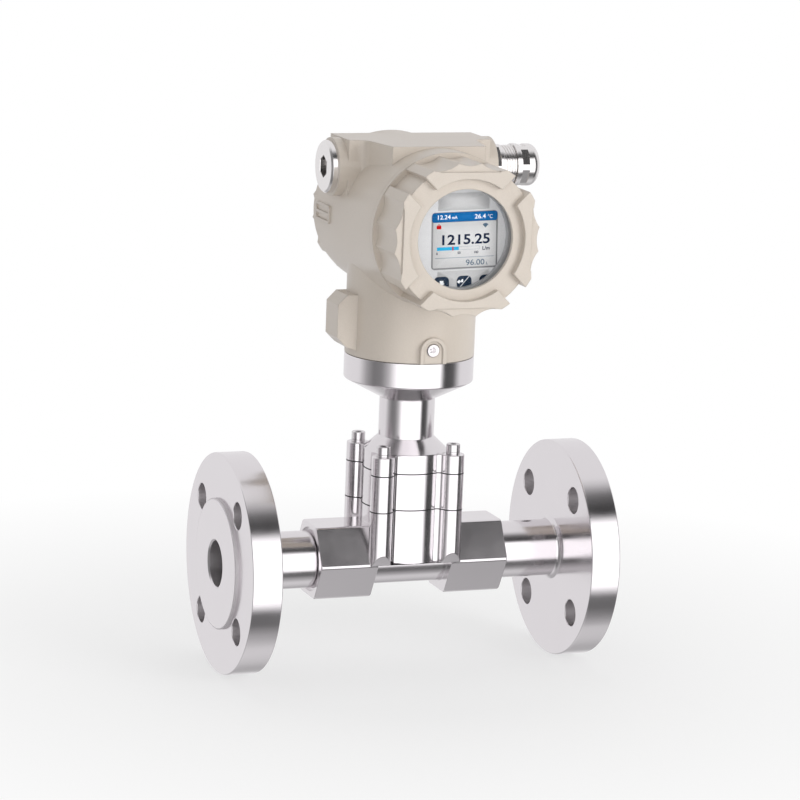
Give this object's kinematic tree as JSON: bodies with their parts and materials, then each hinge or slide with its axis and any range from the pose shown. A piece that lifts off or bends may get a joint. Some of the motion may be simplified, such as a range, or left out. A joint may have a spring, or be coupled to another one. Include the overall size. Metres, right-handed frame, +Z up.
{
  "type": "turbine flowmeter",
  "caption": "Flanged turbine flowmeter: hexagon-ended body with a sensor chamber, round stem and a coated head with display window, cable gland and blanking plug.",
  "frame": {"origin": "centre of the inlet flange's raised face, on the pipe's axis", "axes": "+X along the flow from inlet to outlet, +Z up along the stem to the head, the display looks along -Y"},
  "size_m": [0.205, 0.133, 0.2772],
  "materials": {
    "stainless": "satin",
    "fasteners": "satin",
    "coated_alloy": "satin",
    "nickel_plated": "satin",
    "seal_rubber": "matte",
    "window": "gloss",
    "display_case": "satin",
    "screen_face": "gloss",
    "key_face": "gloss",
    "circuit_board": "satin",
    "moulding": "matte",
    "spool_plastic": "matte",
    "winding": "satin",
    "lead_jacket": "matte",
    "bearing": "polished"
  },
  "bodies": {
    "meter": {"meter_body": "stainless", "inlet_pipe": "stainless", "outlet_pipe": "stainless", "inlet_flange": "stainless", "outlet_flange": "stainless", "spacer_block": "stainless", "lower_block_seal": "seal_rubber", "upper_block_seal": "seal_rubber", "stem": "stainless", "head_cup": "stainless", "neck_seal": "seal_rubber", "cap_screws": "fasteners", "spring_washers": "fasteners", "inlet_guide": "stainless", "outlet_guide": "stainless", "inlet_snap_ring": "fasteners", "outlet_snap_ring": "fasteners", "rotor_shaft": "bearing", "thrust_washers": "bearing", "pickup_case": "stainless", "pickup_spool": "spool_plastic", "pickup_coil": "winding", "pickup_magnet": "stainless", "signal_lead": "lead_jacket", "lead_plug": "lead_jacket"},
    "rotor": {"rotor": "stainless", "bearing_bushes": "bearing"},
    "head": {"housing": "coated_alloy", "lock_screw": "fasteners", "display_frame": "display_case", "screen": "screen_face", "touch_keys": "key_face", "display_board": "circuit_board", "main_board": "circuit_board", "front_posts": "nickel_plated", "rear_posts": "nickel_plated", "post_screws": "fasteners", "terminal_block": "moulding", "terminal_screws": "fasteners", "ground_screw": "fasteners", "gland_body": "nickel_plated"},
    "front_seal": {"front_cover_seal": "seal_rubber"},
    "front_lid": {"front_cover": "coated_alloy", "window_glass": "window", "window_clamp_ring": "coated_alloy"},
    "rear_seal": {"rear_cover_seal": "seal_rubber"},
    "rear_lid": {"rear_cover": "coated_alloy"},
    "plug_ring": {"plug_seal": "seal_rubber"},
    "plug": {"blanking_plug": "nickel_plated"},
    "nut_travel": {"sealing_sleeve": "seal_rubber"},
    "nut": {"gland_nut": "nickel_plated"}
  },
  "joints": [
    {"name": "rotor_spin", "type": "hinge", "parent": "meter", "child": "rotor", "pos_m": [0.1025, 0, 0], "axis": [1, 0, 0], "continuous": true},
    {"name": "head_turn", "type": "hinge", "parent": "meter", "child": "head", "pos_m": [0.1025, 0, 0.1153], "axis": [0, 0, 1], "range_deg": [-170, 170]},
    {"name": "front_cover_travel", "type": "slide", "parent": "head", "child": "front_seal", "axis": [0, -1, 0], "range_m": [0, 0.0075]},
    {"name": "front_cover_turn", "type": "hinge", "parent": "front_seal", "child": "front_lid", "pos_m": [0.1025, -0.0444, 0.1784], "axis": [0, -1, 0], "range_deg": [0, 1800]},
    {"name": "rear_cover_travel", "type": "slide", "parent": "head", "child": "rear_seal", "axis": [0, 1, 0], "range_m": [0, 0.0075]},
    {"name": "rear_cover_turn", "type": "hinge", "parent": "rear_seal", "child": "rear_lid", "pos_m": [0.1025, 0.0391, 0.1784], "axis": [0, 1, 0], "range_deg": [0, 1800]},
    {"name": "plug_travel", "type": "slide", "parent": "head", "child": "plug_ring", "axis": [-1, 0, 0], "range_m": [0, 0.009]},
    {"name": "plug_turn", "type": "hinge", "parent": "plug_ring", "child": "plug", "pos_m": [0.05885, 0.01, 0.2044], "axis": [-1, 0, 0], "range_deg": [0, 2160]},
    {"name": "gland_nut_travel", "type": "slide", "parent": "head", "child": "nut_travel", "axis": [1, 0, 0], "range_m": [0, 0.006]},
    {"name": "gland_nut_turn", "type": "hinge", "parent": "nut_travel", "child": "nut", "pos_m": [0.1588, 0.01, 0.2044], "axis": [1, 0, 0], "range_deg": [0, 1440]}
  ],
  "couplings": [
    {"joint": "front_cover_travel", "follows": "front_cover_turn", "m_per_rad": 0.00023873},
    {"joint": "rear_cover_travel", "follows": "rear_cover_turn", "m_per_rad": 0.00023873},
    {"joint": "plug_travel", "follows": "plug_turn", "m_per_rad": 0.00023873},
    {"joint": "gland_nut_travel", "follows": "gland_nut_turn", "m_per_rad": 0.00023873}
  ]
}
